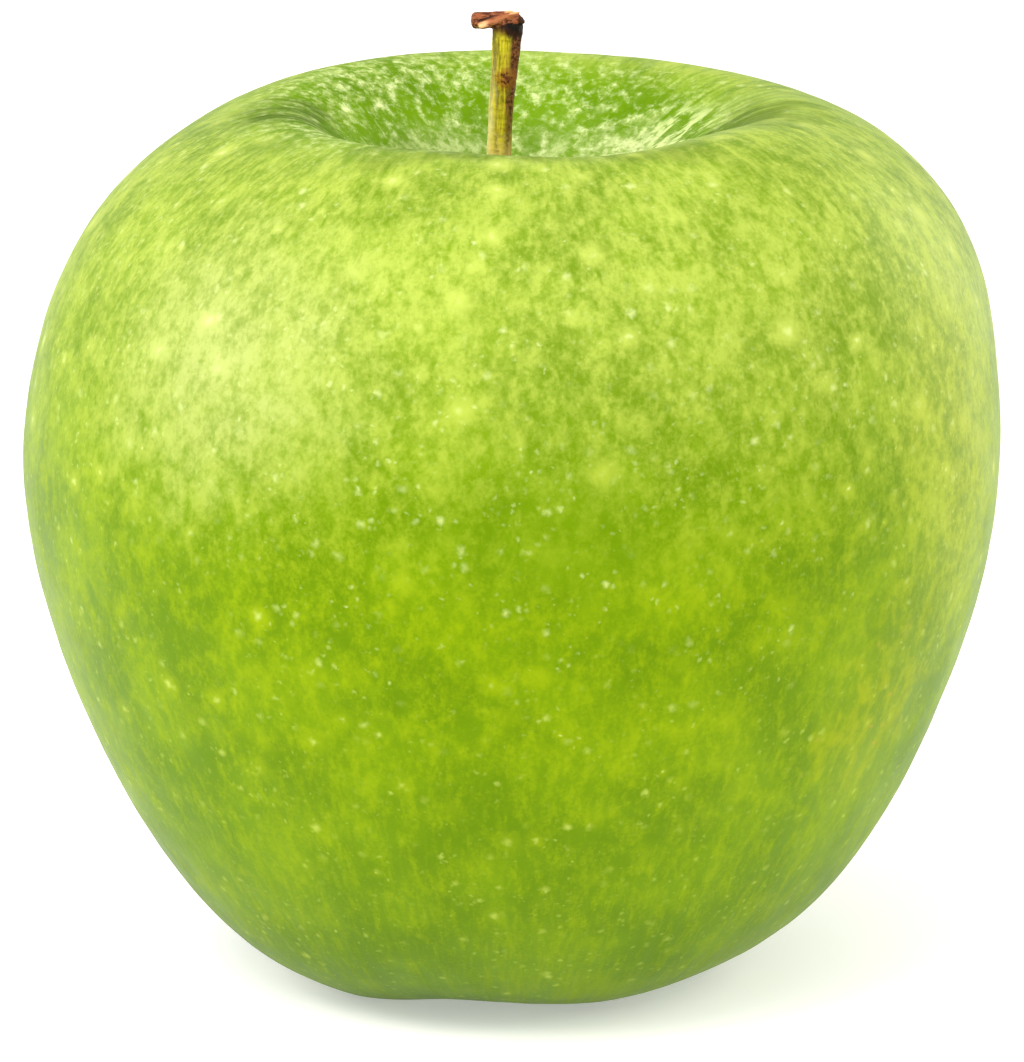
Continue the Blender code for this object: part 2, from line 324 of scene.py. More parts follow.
def skin_look(cavity):
    """Mottled green skin. cavity is the middle of the stem cavity."""
    look = Look("green_skin")
    x, y, z = look.split(look.mm)
    wobble = look.node("ShaderNodeTexNoise", {"Vector": look.mm, "Scale": 1.6, "Detail": 2.0}, out="Color")
    bent = look.vector("ADD", look.mm, look.vector("SCALE", wobble, scale=0.7))
    drift = look.node("ShaderNodeTexNoise", {"Vector": look.mm, "Scale": 0.25, "Detail": 3.0}, out="Color")
    drift = look.vector("SCALE", look.vector("SUBTRACT", drift, (0.5,) * 3), scale=9.0)
    drifted = look.vector("ADD", look.mm, drift)

    def patch(centre, size, soft=0.3):
        """1 in an oval patch of skin, fading to 0 at its ragged edge."""
        away = look.vector("DIVIDE", look.vector("SUBTRACT", drifted, centre), size)
        far = look.node("ShaderNodeVectorMath", {0: away}, out="Value", operation="LENGTH")
        return look.step(far, 1.0, soft)

    def spots(vector, scale, size, strength):
        """Scattered round spots that differ in size and strength."""
        cell = look.tree.nodes.new("ShaderNodeTexVoronoi")
        look.feed(cell.inputs["Vector"], vector)
        cell.inputs["Scale"].default_value = scale
        chance, power, _ = look.split(cell.outputs["Color"])
        reach = look.math("MULTIPLY_ADD", chance, size, 0.35 * size)
        spot = look.step(look.math("DIVIDE", cell.outputs["Distance"], reach), 1.0, 0.0)
        return look.math("MULTIPLY", spot, look.math("MULTIPLY_ADD", power, strength * 0.75, strength * 0.25))

    # Coordinates along the meridians, for what grows from pole to pole
    around = look.math("SQRT", look.math("ADD", look.math("MULTIPLY", x, x), look.math("MULTIPLY", y, y)))
    along = look.math("MULTIPLY_ADD", around, -0.5, z)
    flat = look.join(x, y, 0.0)
    outward = look.vector("NORMALIZE", flat)
    out_x, out_y, _ = look.split(look.vector("SCALE", outward, scale=34.0))
    meridian = look.join(out_x, out_y, look.math("MULTIPLY", along, 0.62))
    # The same round the cavity
    from_stem = look.vector("SUBTRACT", flat, (float(cavity[0]), float(cavity[1]), 0.0))
    reach = look.node("ShaderNodeVectorMath", {0: from_stem}, out="Value", operation="LENGTH")
    in_x, in_y, _ = look.split(look.vector("SCALE", look.vector("NORMALIZE", from_stem), scale=9.0))
    down = look.math("MULTIPLY_ADD", reach, 0.5, z)
    strands = look.join(in_x, in_y, look.math("MULTIPLY", down, 0.22))
    cavity_share = look.math("MULTIPLY", look.step(reach, CAVITY_REACH, 16.0), look.step(z, 55.0, 60.0))

    # Painted highlight on the upper left, painted shade on the front, painted light on the right flank
    painted_highlight = patch(*PAINTED_HIGHLIGHT_PATCH, 0.0)
    front_shade = patch(*FRONT_SHADE_PATCH, 0.0)
    right_light = patch(*RIGHT_LIGHT_PATCH, 0.1)
    large = look.noise(look.mm, 0.13, 3, 0.55)
    streaky = look.noise(meridian, 0.8, 4, 0.62, 0.3)
    medium = look.noise(meridian, 1.7, 3, 0.6, 0.2)
    fine = look.noise(look.mm, 3.2, 2, 0.6)
    mottle = look.math("ADD", look.math("MULTIPLY", streaky, 0.5), look.math("MULTIPLY", medium, 0.3))
    mottle = look.math("ADD", mottle, look.math("MULTIPLY", fine, 0.2))
    mottle = look.math("ADD", mottle, look.math("MULTIPLY", look.math("SUBTRACT", large, 0.5), 0.22))
    # Paler higher up: partly the skin's own paler top, partly a painted highlight from the lamps above
    mottle = look.math("ADD", mottle, look.step(z, 12.0, 62.0, 0.0, 0.07))
    # Painted highlight and painted shade: the mottle paler on the upper left and darker on the front
    mottle = look.math("ADD", mottle, look.math("MULTIPLY", look.math("SUBTRACT", painted_highlight, front_shade), 0.05))
    # Painted light: the mottle paler on the right flank
    mottle = look.math("ADD", mottle, look.math("MULTIPLY", right_light, 0.04))
    pale = look.step(mottle, 0.42, 0.72)

    deep, mid = colour(87, 119, 0), colour(99, 131, 0)
    # The pale colour whiter higher up: partly the skin's own, partly a painted highlight
    light = look.mix(look.step(z, 38.0, 66.0), colour(134, 156, 4), colour(174, 188, 84))
    # Painted highlight: the pale colour whiter still on the upper left
    light = look.mix(look.math("MULTIPLY", painted_highlight, 0.8), light, colour(182, 190, 116))
    # Painted light: the pale colour yellower on the right flank
    light = look.mix(look.math("MULTIPLY", right_light, 0.6), light, colour(176, 184, 66))
    skin = look.mix(look.step(large, 0.35, 0.65), deep, mid)
    # The mottle fainter higher up, where the painted highlight washes it out
    skin = look.mix(look.math("MULTIPLY", pale, look.step(z, 30.0, 66.0, 0.72, 0.62)), skin, light)
    # Painted highlight and painted light: the upper left and right flank lifted towards the pale colour
    skin = look.mix(look.math("MULTIPLY", look.math("ADD", painted_highlight, right_light), 0.16), skin, light)
    # Painted shade: the front darkened towards the deep green
    skin = look.mix(look.math("MULTIPLY", front_shade, 0.45), skin, deep)

    # Painted shade: darker towards the foot. Painted light: paler high on the front, facing the camera
    skin = look.mix(look.step(z, 20.0, 3.0, 0.0, 0.22), skin, colour(52, 78, 0))
    painted_front_light = look.math("MULTIPLY", look.step(z, 44.0, 58.0), look.step(y, 5.0, -15.0, 0.0, 0.08))
    skin = look.mix(painted_front_light, skin, light)

    # A yellow flush low on the right, with a few reddish flecks
    flush = patch(*FLUSH)
    yellow = look.math("MULTIPLY", flush, look.step(streaky, 0.42, 0.62, 0.10, 0.5))
    skin = look.mix(yellow, skin, colour(142, 152, 14))
    blush = look.math("MULTIPLY", flush, spots(bent, 0.6, 0.28, 0.6))
    skin = look.mix(blush, skin, colour(176, 138, 66))

    # Lenticels: small bright flecks, and larger soft spots higher up
    # The flecks' cream whiter higher up, partly a painted highlight
    cream = look.mix(look.step(z, 20.0, 60.0), colour(182, 196, 84), colour(204, 214, 146))
    crowd = look.step(look.noise(look.mm, 0.22, 2, 0.5), 0.38, 0.62, 0.2, 1.0)
    fleck = look.math("MULTIPLY", spots(bent, 0.62, 0.28, 0.60), crowd)
    tiny = look.math("MULTIPLY", spots(bent, 1.2, 0.30, 0.42), crowd)
    halo = look.math("MULTIPLY", spots(bent, 0.27, 0.44, 0.95), look.step(z, 16.0, 44.0, 0.35, 1.0))
    core = spots(bent, 0.27, 0.13, 0.60)
    skin = look.mix(halo, skin, light)
    skin = look.mix(fleck, skin, cream)
    skin = look.mix(tiny, skin, cream)
    skin = look.mix(core, skin, cream)

    # Cavity: pale specks and blotches over a deeper green
    strand = look.noise(strands, 1.5, 4, 0.68, 0.3)
    grit = look.noise(bent, 1.1, 4, 0.66, 0.1)
    veil = look.math("ADD", look.math("MULTIPLY", strand, 0.4), look.math("MULTIPLY", grit, 0.6))
    high = look.step(look.math("MULTIPLY_ADD", look.math("SUBTRACT", large, 0.5), 6.0, z), 69.6, 71.2)
    veil = look.math("ADD", veil, look.math("MULTIPLY", high, 0.045))
    green = look.mix(look.step(large, 0.35, 0.65), colour(80, 116, 0), colour(94, 131, 2))
    chalk = look.mix(look.step(grit, 0.4, 0.7), colour(176, 192, 110), colour(210, 220, 160))
    inner = look.mix(look.step(veil, 0.46, 0.74, 0.0, 0.85), green, chalk)
    specks = look.math("MAXIMUM", spots(bent, 1.25, 0.46, 0.7), spots(bent, 0.72, 0.44, 0.85))
    specks = look.math("MULTIPLY", specks, look.math("MULTIPLY_ADD", high, 0.72, 0.12))
    inner = look.mix(specks, inner, chalk)
    ovals = look.vector("MULTIPLY", look.join(in_x, in_y, down), (1.35, 1.35, 0.55))
    blotch = look.math("MULTIPLY", spots(ovals, 0.34, 0.40, 0.9), look.step(veil, 0.42, 0.52, 0.5, 1.0))
    blotch = look.math("MULTIPLY", blotch, look.step(high, 0.9, 0.2, 0.3, 1.0))
    inner = look.mix(blotch, inner, colour(190, 204, 134))
    # Pale strands on the right, and a grey haze low down round the stem
    drawn = look.math("MULTIPLY", patch(*DRAWN_STRANDS), look.step(strand, 0.47, 0.58, 0.0, 0.8))
    inner = look.mix(drawn, inner, colour(196, 208, 140))
    low = look.step(look.math("MULTIPLY_ADD", look.math("SUBTRACT", strand, 0.5), 4.0, z), 69.3, 66.6)
    sides = look.math("MAXIMUM", patch(*HAZE_RIGHT), patch(*HAZE_LEFT))
    haze = look.math("MULTIPLY", low, look.math("MULTIPLY_ADD", sides, 0.55, 0.22))
    haze = look.math("MULTIPLY", haze, look.step(grit, 0.36, 0.58, 0.2, 1.0))
    # The haze darker on the left and paler on the right: painted shade and painted light of the cavity's walls
    haze_lit_and_shaded = look.mix(look.step(x, 0.0, 5.0), colour(160, 174, 112), colour(196, 204, 146))
    inner = look.mix(haze, inner, haze_lit_and_shaded)
    skin = look.mix(cavity_share, skin, inner)
    # Painted shade: darker shoulders beside the cavity and along its near edge, where light only grazes,
    # combed towards the stem
    left, right = patch(*SHADED_SHOULDER_LEFT), patch(*SHADED_SHOULDER_RIGHT)
    front = look.math("MULTIPLY", patch(*SHADED_RIM_FRONT), 0.6)
    shoulder_shade = look.math("MAXIMUM", look.math("MAXIMUM", left, look.math("MULTIPLY", right, 0.75)), front)
    comb = look.noise(look.join(in_x, in_y, look.math("MULTIPLY", down, 0.05)), 1.9, 3, 0.6)
    combed = look.math("MULTIPLY", shoulder_shade, look.step(comb, 0.64, 0.42, 0.40, 0.95))
    skin = look.mix(combed, skin, colour(58, 84, 2))

    # Basin: russet round the calyx
    basin = look.math("MULTIPLY", look.step(around, 9.0, 3.0), look.step(z, 14.0, 9.0))
    russet = look.math("MULTIPLY", basin, look.step(look.noise(look.mm, 1.1, 4, 0.65), 0.35, 0.6))
    skin = look.mix(look.math("MULTIPLY", russet, 0.7), skin, colour(124, 104, 52))

    relief = look.math("ADD", look.math("MULTIPLY", streaky, 0.6), look.math("MULTIPLY", fine, 0.4))
    relief = look.math("ADD", relief, look.math("MULTIPLY", fleck, 0.15))
    normal = look.bump(relief, 0.35, 0.12)
    roughness = look.step(look.math("ADD", streaky, look.math("MULTIPLY", fleck, 0.3)), 0.3, 0.9, 0.42, 0.58)
    roughness = look.math("MULTIPLY_ADD", look.math("MAXIMUM", shoulder_shade, cavity_share), 0.30, roughness)
    return look.finish(
        Base_Color=skin,
        Roughness=roughness,
        IOR=1.22,
        Specular_Tint=(1.0, 0.95, 0.30, 1.0),
        Subsurface_Weight=0.08,
        Subsurface_Scale=1.2 * MM,
        Subsurface_Radius=(0.8, 1.0, 0.2),
        Normal=normal,
    )


# ---------------------------------------------------------------- stem

STEM_LENGTH = 19.2  # from the cavity floor to the tip, in millimetres
STEM_BEND = 1.35  # the power by which the stem leans over towards its tip
KNOT_HEIGHT = 14.2  # above the cavity floor
VOXEL = 0.065


def tube(bm, path, sides):
    """A closed tube along (x, y, z, width, depth) rows, bent with the path. Lengths are in millimetres."""
    middles = [Vector(row[:3]) for row in path]
    rings = []
    side = None
    for i, row in enumerate(path):
        ahead = (middles[min(i + 1, len(path) - 1)] - middles[max(i - 1, 0)]).normalized()
        if side is None:
            side = ahead.orthogonal().normalized()
            if abs(ahead.z) > 0.7:
                side = Vector((1, 0, 0))
        side = (side - ahead * side.dot(ahead)).normalized()
        other = ahead.cross(side)
        ring = []
        for k in range(sides):
            turn = 2 * math.pi * k / sides
            place = middles[i] + side * row[3] * math.cos(turn)
            ring.append(bm.verts.new(place + other * row[4] * math.sin(turn)))
        rings.append(ring)
    for a, b in zip(rings, rings[1:]):
        for k in range(sides):
            bm.faces.new((a[k], a[(k + 1) % sides], b[(k + 1) % sides], b[k]))
    bm.faces.new(list(reversed(rings[0])))
    bm.faces.new(rings[-1])


def run_through(rows, count):
    """Reads a smooth path through rows at evenly spaced places."""
    rows = np.asarray(rows, float)
    before = np.vstack([2 * rows[0] - rows[1], rows, 2 * rows[-1] - rows[-2]])
    path = []
    for at in np.linspace(0, len(rows) - 1.0001, count):
        i, t = int(at), at % 1.0
        a, b, c, d = before[i : i + 4]
        curve = 2 * b + (c - a) * t + (2 * a - 5 * b + 4 * c - d) * t * t + (3 * b - a - 3 * c + d) * t**3
        path.append(0.5 * curve)
    return path


def make_stem(foot):
    """The neck and its torn knob, fused from four tubes. Each row is x, y, z, width and depth."""
    low, high = (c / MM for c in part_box("stem"))
    fx, top = foot[0], high.z
    bm = bmesh.new()
    neck = (
        (fx, 0, low.z, 1.20, 1.15),
        (fx, 0, low.z + 1.9, 1.22, 1.16),
        (fx + 0.04, 0, foot[2] + 2.0, 1.16, 1.12),
        (fx + 0.10, 0, foot[2] + 5.0, 1.05, 1.00),
        (fx + 0.22, 0, foot[2] + 8.6, 1.01, 0.98),
        (fx + 0.36, 0, foot[2] + 11.4, 1.02, 0.98),
        (fx + 0.58, 0, foot[2] + 14.0, 1.08, 1.00),
        (fx + 0.80, 0, foot[2] + 16.7, 1.20, 1.10),
        (fx + 0.93, 0, foot[2] + 18.2, 1.27, 1.15),
        (fx + 1.00, 0, top - 0.75, 1.15, 1.10),
    )
    tube(bm, run_through(neck, 60), 32)
    bark = (
        (low.x + 0.12, 0.20, top - 0.88, 0.30, 0.30),
        (low.x + 0.32, 0.18, top - 0.88, 0.66, 0.66),
        (low.x + 0.90, 0.12, top - 0.90, 0.72, 0.76),
        (low.x + 1.70, 0.15, top - 0.84, 0.66, 0.74),
        (low.x + 2.60, 0.25, top - 0.78, 0.62, 0.80),
        (low.x + 3.40, 0.30, top - 0.80, 0.60, 0.85),
        (low.x + 4.10, 0.20, top - 0.95, 0.50, 0.60),
    )
    tube(bm, run_through(bark, 40), 24)
    flap = (
        (low.x + 0.78, -0.62, top - 1.34, 0.13, 0.16),
        (low.x + 1.15, -0.74, top - 1.22, 0.26, 0.28),
        (low.x + 1.75, -0.86, top - 0.98, 0.31, 0.33),
        (low.x + 2.45, -0.88, top - 0.72, 0.30, 0.32),
        (low.x + 3.20, -0.72, top - 0.50, 0.26, 0.34),
        (low.x + 3.75, -0.45, top - 0.26, 0.19, 0.27),
        (low.x + 4.12, -0.25, top - 0.10, 0.08, 0.10),
    )
    tube(bm, run_through(flap, 30), 16)
    knuckle = (
        (low.x + 3.30, -0.55, top - 0.95, 0.30, 0.32),
        (low.x + 3.70, -0.55, top - 0.80, 0.46, 0.48),
        (low.x + 4.10, -0.35, top - 0.85, 0.40, 0.44),
        (low.x + 4.36, -0.15, top - 1.05, 0.20, 0.24),
    )
    tube(bm, run_through(knuckle, 16), 16)
    mesh = bpy.data.meshes.new("apple_stem")
    bm.to_mesh(mesh)
    bm.free()
    rough = bpy.data.objects.new("stem_guide", mesh)
    bpy.context.scene.collection.objects.link(rough)
    remesh = rough.modifiers.new("skin", "REMESH")
    remesh.mode = "VOXEL"
    remesh.voxel_size = VOXEL
    evaluated = rough.evaluated_get(bpy.context.evaluated_depsgraph_get())
    mesh = bpy.data.meshes.new_from_object(evaluated)
    bpy.data.objects.remove(rough)
    mesh.name = "apple_stem"
    roughen_stem(mesh, foot, top)
    add_piece("apple_stem", mesh, stem_look(foot, top), "stem_wood", "stem")


def roughen_stem(mesh, foot, top):
    """Grooves along the neck, knots, and cracked bark over the tip. Turns millimetres into metres."""

    def relief(x, y, z):
        bark = float(ease(z, top - 2.6, top - 1.6))
        free = float(ease(z, foot[2] - 0.5, foot[2] + 2.5))
        turn = math.atan2(y, x - fx_at(foot, z))
        groove = fractal(2.2 * math.cos(turn), 2.2 * math.sin(turn), z * 0.10, 3)
        chip = fractal(x * 0.9, y * 2.6, z * 2.6, 3)
        shift = (1 - bark) * free * (0.11 * groove + 0.04 * chip) + bark * 0.07 * chip
        knot = math.exp(-(((z - foot[2] - KNOT_HEIGHT) / 0.55) ** 2) - ((turn + 1.35) / 0.6) ** 2)
        return shift + 0.12 * knot * (1 - bark) - 0.05 * free

    sculpt(mesh, 1.0, relief, "stem")


def sculpt(mesh, unit, relief, node):
    """Moves each vertex along its normal by relief(x, y, z), in millimetres, and keeps it in the node's box.

    unit is the length of the mesh's own unit in millimetres. The mesh ends up in metres.
    """
    count = len(mesh.vertices)
    co, normal = np.empty(3 * count, np.float32), np.empty(3 * count, np.float32)
    mesh.vertices.foreach_get("co", co)
    mesh.vertex_normals.foreach_get("vector", normal)
    co = co.reshape(-1, 3).astype(float) * unit
    shift = np.array([relief(*point) for point in co.tolist()])
    co += normal.reshape(-1, 3) * shift[:, None]
    low, high = (np.array(corner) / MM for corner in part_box(node))
    co = np.clip(co, low, high) * MM
    mesh.vertices.foreach_set("co", co.astype(np.float32).ravel())
    mesh.update()


def fx_at(foot, z):
    """Where the neck's middle is at a height."""
    t = max(0.0, (z - foot[2]) / STEM_LENGTH)
    return foot[0] + t**STEM_BEND


def stem_look(foot, top):
    """Yellow-green wood with a painted highlight down its left edge, brown down its right side deepened as
    painted shade, and dark brown wood under the torn bark at its tip, deepening to black as painted shadow
    under the knob.
    """
    look = Look("stem_wood")
    x, y, z = look.split(look.mm)
    rise = look.math("DIVIDE", look.math("SUBTRACT", z, float(foot[2])), STEM_LENGTH)
    rise = look.math("MAXIMUM", rise, 0.0)
    middle = look.math("ADD", look.math("POWER", rise, STEM_BEND), float(foot[0]))
    side = look.math("SUBTRACT", x, middle)
    grain = look.vector("MULTIPLY", look.mm, (2.6, 2.6, 0.28))
    streak = look.noise(grain, 1.0, 4, 0.6, 0.3)
    speck = look.noise(look.mm, 2.6, 3, 0.7)
    bitty = look.noise(look.mm, 3.4, 4, 0.75)
    point = look.node("ShaderNodeNewGeometry", out="Pointiness")
    edge = look.math("MULTIPLY_ADD", look.math("SUBTRACT", streak, 0.5), 1.5, side)

    wood = look.mix(look.step(streak, 0.36, 0.62), colour(98, 90, 6), colour(186, 174, 30))
    wood = look.mix(look.step(speck, 0.60, 0.72), wood, colour(140, 92, 20))
    # Painted highlight: a pale cream edge down the left, the side facing the lamps
    pale = look.math("MULTIPLY", look.step(edge, -0.45, -1.0), look.step(rise, 0.95, 0.4))
    wood = look.mix(look.math("MULTIPLY", pale, 0.8), wood, colour(214, 204, 130))
    # Brown down the right side: partly the stem's own brown, partly painted shade on the side away from the
    # lamps
    shaded_right_side = look.math("MULTIPLY", look.step(edge, 0.12, 0.5), look.step(rise, 0.35, 0.7, 0.55, 1.0))
    brown = look.mix(look.step(bitty, 0.38, 0.64), colour(34, 12, 0), colour(128, 80, 40))
    wood = look.mix(shaded_right_side, wood, brown)
    foot_share = look.math("MULTIPLY_ADD", look.math("SUBTRACT", speck, 0.5), 0.3, rise)
    foot_share = look.step(foot_share, 0.52, 0.40)
    wood = look.mix(look.math("MULTIPLY", foot_share, 0.6), wood, colour(190, 166, 92))
    knot_at = look.vector("SUBTRACT", look.mm, (float(foot[0]) + 0.75, -1.0, float(foot[2]) + KNOT_HEIGHT))
    knot_at = look.vector("MULTIPLY", knot_at, (1.0, 0.7, 1.1))
    knot_far = look.node("ShaderNodeVectorMath", {0: knot_at}, out="Value", operation="LENGTH")
    knot_far = look.math("MULTIPLY_ADD", look.math("SUBTRACT", bitty, 0.5), 2.2, knot_far)
    wood = look.mix(look.step(knot_far, 1.25, 0.55, 0.0, 0.75), wood, colour(132, 82, 12))
    scar = look.mix(look.step(bitty, 0.4, 0.6), colour(58, 20, 4), colour(104, 54, 22))
    wood = look.mix(look.step(knot_far, 0.62, 0.18), wood, scar)

    # Painted shadow: the wood darker brown under the torn bark, black right under the knob, and reaching
    # further down the right side as painted shade
    below = look.math("MULTIPLY_ADD", look.math("SUBTRACT", streak, 0.5), 2.0, z)
    wood = look.mix(look.step(below, top - 2.1, top - 1.5, 0.0, 0.8), wood, colour(84, 46, 8))
    below = look.math("MULTIPLY_ADD", look.step(side, -0.7, 0.4), 0.75, below)
    wood = look.mix(look.step(below, top - 1.75, top - 1.05), wood, colour(38, 13, 2))
    wood = look.mix(look.step(below, top - 0.95, top - 0.5), wood, colour(9, 2, 1))
    chips = look.vector("MULTIPLY", look.mm, (0.9, 2.0, 2.0))
    flake = look.noise(chips, 1.9, 5, 0.75, 0.8)
    bark = look.mix(look.step(flake, 0.38, 0.62), colour(58, 22, 7), colour(146, 82, 44))
    bark = look.mix(look.step(flake, 0.60, 0.72, 0.0, 0.7), bark, colour(198, 138, 96))
    # Painted highlight on the bark's ridges and painted shade in its cracks, from the pointiness
    bark = look.mix(look.step(point, 0.52, 0.60, 0.0, 0.5), bark, colour(222, 166, 118))
    bark = look.mix(look.step(point, 0.49, 0.42, 0.0, 0.8), bark, colour(30, 9, 2))
    # The flap in front: a pale band rising to the right, a painted highlight along its ridge and brighter to
    # the left, with a dark line above it, painted shade in the gap
    ridge = look.math("MULTIPLY_ADD", x, 0.36, top - 1.22 + 0.36 * 2.67)
    above = look.math("SUBTRACT", z, ridge)
    above = look.math("MULTIPLY_ADD", look.math("SUBTRACT", flake, 0.5), 0.5, above)
    facing = look.math("MULTIPLY", look.step(y, -0.15, -0.45), look.step(x, -2.9, -2.6))
    ridge_highlight = look.math("MULTIPLY", look.step(look.math("ABSOLUTE", above), 0.30, 0.16), facing)
    shade = look.mix(look.step(x, -1.7, -2.4), colour(152, 92, 54), colour(232, 180, 126))
    bark = look.mix(look.math("MULTIPLY", ridge_highlight, look.step(flake, 0.30, 0.50, 0.25, 0.9)), bark, shade)
    # Painted shade: the gap above the flap darkened
    crack_shade = look.step(look.math("ABSOLUTE", look.math("SUBTRACT", above, 0.42)), 0.15, 0.05)
    crack_shade = look.math("MULTIPLY", crack_shade, look.math("MULTIPLY", facing, look.step(x, 0.3, -0.5)))
    bark = look.mix(look.math("MULTIPLY", crack_shade, 0.92), bark, colour(36, 9, 1))
    # A pale line along the top on the right, a painted highlight, and the dark end of the bark
    top_edge_highlight = look.math("MULTIPLY", look.step(z, top - 0.26, top - 0.12), look.step(x, -0.75, -0.45))
    bark = look.mix(look.math("MULTIPLY", top_edge_highlight, 0.85), bark, colour(226, 168, 116))
    end = look.math("MULTIPLY", look.step(x, 0.38, 0.62), look.step(z, top - 0.2, top - 0.5))
    bark = look.mix(end, bark, colour(52, 24, 6))
    edge_of_bark = look.math("SUBTRACT", z, look.step(x, -2.1, -0.5, top - 1.75, top - 0.95))
    edge_of_bark = look.math("MULTIPLY_ADD", look.math("SUBTRACT", flake, 0.5), 0.8, edge_of_bark)
    wood = look.mix(look.step(edge_of_bark, -0.08, 0.10), wood, bark)
    relief = look.math("ADD", look.math("MULTIPLY", streak, 0.5), look.math("MULTIPLY", speck, 0.5))
    return look.finish(
        Base_Color=wood,
        Roughness=look.step(speck, 0.3, 0.7, 0.55, 0.8),
        Specular_IOR_Level=0.18,
        Normal=look.bump(relief, 0.6, 0.08),
    )


# ---------------------------------------------------------------- calyx

FILAMENTS, STYLES = 15, 5

def make_sepal(index):
    """A dried, crinkled sepal, grown from the CAD blade."""
    name = f"sepal_{index}"
    bm = bmesh.new()
    bm.from_mesh(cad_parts[name].data)
    bmesh.ops.remove_doubles(bm, verts=bm.verts, dist=0.001 * MM)
    mesh = bpy.data.meshes.new(f"dry_{name}")
    bm.to_mesh(mesh)
    bm.free()
    rough = bpy.data.objects.new("sepal_guide", mesh)
    bpy.context.scene.collection.objects.link(rough)
    finer = rough.modifiers.new("finer", "SUBSURF")
    finer.levels = 2
    mesh = bpy.data.meshes.new_from_object(rough.evaluated_get(bpy.context.evaluated_depsgraph_get()))
    bpy.data.objects.remove(rough)
    mesh.name = f"dry_{name}"
    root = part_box(name)[1].z / MM

    def relief(x, y, z):
        free = float(ease(z, root, root - 1.2))
        crinkle = 0.16 * fractal(x * 1.1, y * 1.1, z * 0.7 + 3 * index, 2) - 0.05
        return free * crinkle + 0.05 * fractal(x * 5, y * 5, z * 3 + index, 2)

    sculpt(mesh, 1 / MM, relief, name)
    add_piece(f"dry_{name}", mesh, sepal_look(index), "sepal", name)


def sepal_look(index):
    look = Look(f"dry_sepal_{index}")
    _, _, z = look.split(look.mm)
    veins = look.noise(look.vector("MULTIPLY", look.mm, (3.0, 3.0, 1.0)), 1.0, 3, 0.6)
    speck = look.noise(look.mm, 2.4, 4, 0.7)
    brown = look.mix(look.step(speck, 0.35, 0.65), colour(70, 48, 26), colour(150, 124, 82))
    tip = look.step(z, 3.6, 2.0)
    brown = look.mix(look.math("MULTIPLY", tip, 0.6), brown, colour(44, 28, 16))
    brown = look.mix(look.math("MULTIPLY", look.step(veins, 0.5, 0.7), 0.5), brown, colour(176, 160, 120))
    return look.finish(
        Base_Color=brown,
        Roughness=look.step(speck, 0.3, 0.7, 0.75, 0.95),
        Sheen_Weight=0.5,
        Specular_IOR_Level=0.2,
        Normal=look.bump(veins, 0.7, 0.1),
    )


def make_stamens():
    """A ring of dried filaments with shrunken tips round the five styles."""
    low, high = (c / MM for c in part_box("stamen_tuft"))
    middle = (low + high) / 2
    bm = bmesh.new()
    for k in range(FILAMENTS + STYLES):
        if k < FILAMENTS:
            count, ring, short = FILAMENTS, 0.66, 0.5 + 0.9 * abs(noise.noise(Vector((k * 1.7, 0.3, 0.9))))
        else:
            count, ring, short = STYLES, 0.28, 0.3
        turn = 2 * math.pi * k / count + 0.3 * noise.noise(Vector((k, 0.5, 0.2)))
        drop = high.z - low.z - short
        path = []
        for t in np.linspace(0, 1, 10):
            sway = 0.22 * t * noise.noise(Vector((k * 0.9, t * 2.5, 0.1)))
            reach = ring * (0.9 + 0.25 * t * t)
            thick = 0.11 if t < 0.86 else 0.2 - 0.1 * (t > 0.97)
            x = middle.x + reach * math.cos(turn + sway)
            y = middle.y + reach * math.sin(turn + sway)
            path.append((x, y, high.z - t * drop, thick, thick))
        tube(bm, path, 8)
    for vertex in bm.verts:
        vertex.co *= MM
    mesh = bpy.data.meshes.new("dry_stamens")
    bm.to_mesh(mesh)
    bm.free()
    add_piece("dry_stamens", mesh, stamen_look(), "stamens", "stamen_tuft")


def stamen_look():
    look = Look("dry_stamens")
    _, _, z = look.split(look.mm)
    speck = look.noise(look.mm, 3.0, 3, 0.6)
    brown = look.mix(look.step(speck, 0.35, 0.65), colour(52, 34, 20), colour(120, 88, 48))
    brown = look.mix(look.step(z, 5.9, 5.2), brown, colour(38, 24, 16))
    return look.finish(
        Base_Color=brown,
        Roughness=look.step(speck, 0.3, 0.7, 0.8, 0.95),
        Specular_IOR_Level=0.2,
        Normal=look.bump(speck, 0.5, 0.05),
    )


# ---------------------------------------------------------------- stage

FLOOR_SIDES = 96
FLAT_RADIUS, SWEEP, WALL_HEIGHT = 2.2, 0.9, 2.4  # of the floor, in metres
CAMERA_ELEVATION, CAMERA_DISTANCE, CAMERA_LENS = 14.1, 0.75, 310.4
AIM_HEIGHT = 36.6 * MM
LAMP_TARGET = (0.0, 0.0, 0.04)

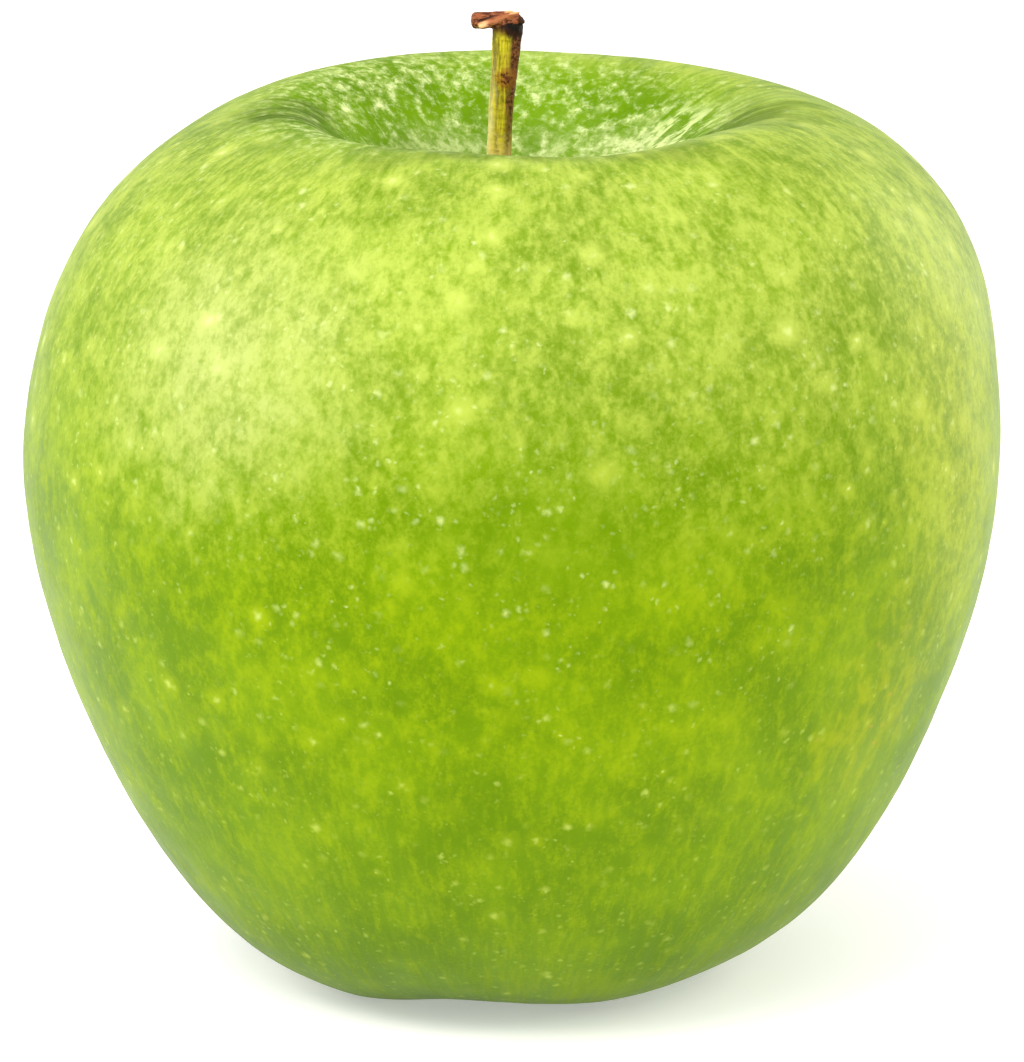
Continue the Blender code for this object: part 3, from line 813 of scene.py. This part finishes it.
def make_floor():
    """A pale floor that sweeps up to a wall all the way round."""
    bm = bmesh.new()
    rows = [(0.6, 0.0), (1.4, 0.0), (FLAT_RADIUS, 0.0)]
    for turn in np.linspace(0, math.pi / 2, 13)[1:]:
        rows.append((FLAT_RADIUS + SWEEP * math.sin(turn), SWEEP * (1 - math.cos(turn))))
    rows.append((FLAT_RADIUS + SWEEP, WALL_HEIGHT))
    rings = []
    for radius, height in rows:
        ring = []
        for k in range(FLOOR_SIDES):
            turn = 2 * math.pi * k / FLOOR_SIDES
            ring.append(bm.verts.new((radius * math.cos(turn), radius * math.sin(turn), height)))
        rings.append(ring)
    centre = bm.verts.new((0, 0, 0))
    for k in range(FLOOR_SIDES):
        bm.faces.new((centre, rings[0][k], rings[0][(k + 1) % FLOOR_SIDES]))
    for a, b in zip(rings, rings[1:]):
        for k in range(FLOOR_SIDES):
            bm.faces.new((a[k], b[k], b[(k + 1) % FLOOR_SIDES], a[(k + 1) % FLOOR_SIDES]))
    for vertex in bm.verts:
        vertex.co.z -= 0.05 * MM
    mesh = bpy.data.meshes.new("floor")
    bm.to_mesh(mesh)
    bm.free()
    mesh.shade_smooth()
    floor = bpy.data.objects.new("floor", mesh)
    bpy.context.scene.collection.objects.link(floor)
    look = Look("white_floor")
    grain = look.noise(look.mm, 0.02, 3, 0.5)
    white = look.mix(grain, (0.76, 0.76, 0.76, 1.0), (0.78, 0.78, 0.78, 1.0))
    material = look.finish(
        Base_Color=white,
        Roughness=0.9,
        Specular_IOR_Level=0.1,
        Emission_Color=(1.0, 1.0, 1.0, 1.0),
        Emission_Strength=0.36,
    )
    mesh.materials.append(material)


def add_light(name, place, width, height, power, tint=(1.0, 1.0, 1.0)):
    """A soft panel that faces the apple. Lengths are in metres and power in watts."""
    lamp = bpy.data.lights.new(name, "AREA")
    lamp.shape = "RECTANGLE"
    lamp.size = width
    lamp.size_y = height
    lamp.energy = power
    lamp.color = tint
    thing = bpy.data.objects.new(name, lamp)
    bpy.context.scene.collection.objects.link(thing)
    thing.location = place
    thing.rotation_euler = (Vector(LAMP_TARGET) - Vector(place)).to_track_quat("-Z", "Y").to_euler()


def make_lights():
    add_light("key", (-0.36, -0.55, 0.88), 0.60, 0.60, 8.8, (1.0, 0.97, 0.92))
    add_light("glare", (-0.80, -0.10, 0.56), 0.60, 0.40, 5.3, (0.98, 0.94, 1.0))
    add_light("right", (0.66, 0.50, 0.26), 0.50, 0.50, 3.8, (1.0, 0.94, 0.80))
    add_light("front", (-0.10, -0.95, 0.70), 0.80, 0.60, 2.3)
    add_light("side", (0.75, -0.42, 0.60), 0.50, 0.50, 3.4, (1.0, 0.96, 0.85))
    add_light("overhead", (0.05, -0.05, 1.10), 1.3, 1.3, 6.5)
    world = bpy.data.worlds.new("room")
    world.use_nodes = True
    world.node_tree.nodes["Background"].inputs[0].default_value = (1.0, 1.0, 1.0, 1.0)
    world.node_tree.nodes["Background"].inputs[1].default_value = 0.18
    bpy.context.scene.world = world


def make_camera():
    """Looks down a little at the front of the apple, from far enough away to flatten it."""
    elevation = math.radians(CAMERA_ELEVATION)
    target = Vector((0.0, 0.0, AIM_HEIGHT))
    back = Vector((0.0, -math.cos(elevation), math.sin(elevation)))
    data = bpy.data.cameras.new("camera")
    data.sensor_width = 36.0
    data.lens = CAMERA_LENS
    data.clip_start = 0.01
    data.clip_end = 20.0
    camera = bpy.data.objects.new("camera", data)
    bpy.context.scene.collection.objects.link(camera)
    camera.location = target + back * CAMERA_DISTANCE
    camera.rotation_euler = (-back).to_track_quat("-Z", "Y").to_euler()
    bpy.context.scene.camera = camera


stem_foot = make_fruit()
make_stem(stem_foot)
for number in range(1, 6):
    make_sepal(number)
make_stamens()
make_floor()
make_lights()
make_camera()
bpy.context.scene.view_settings.view_transform = "Standard"
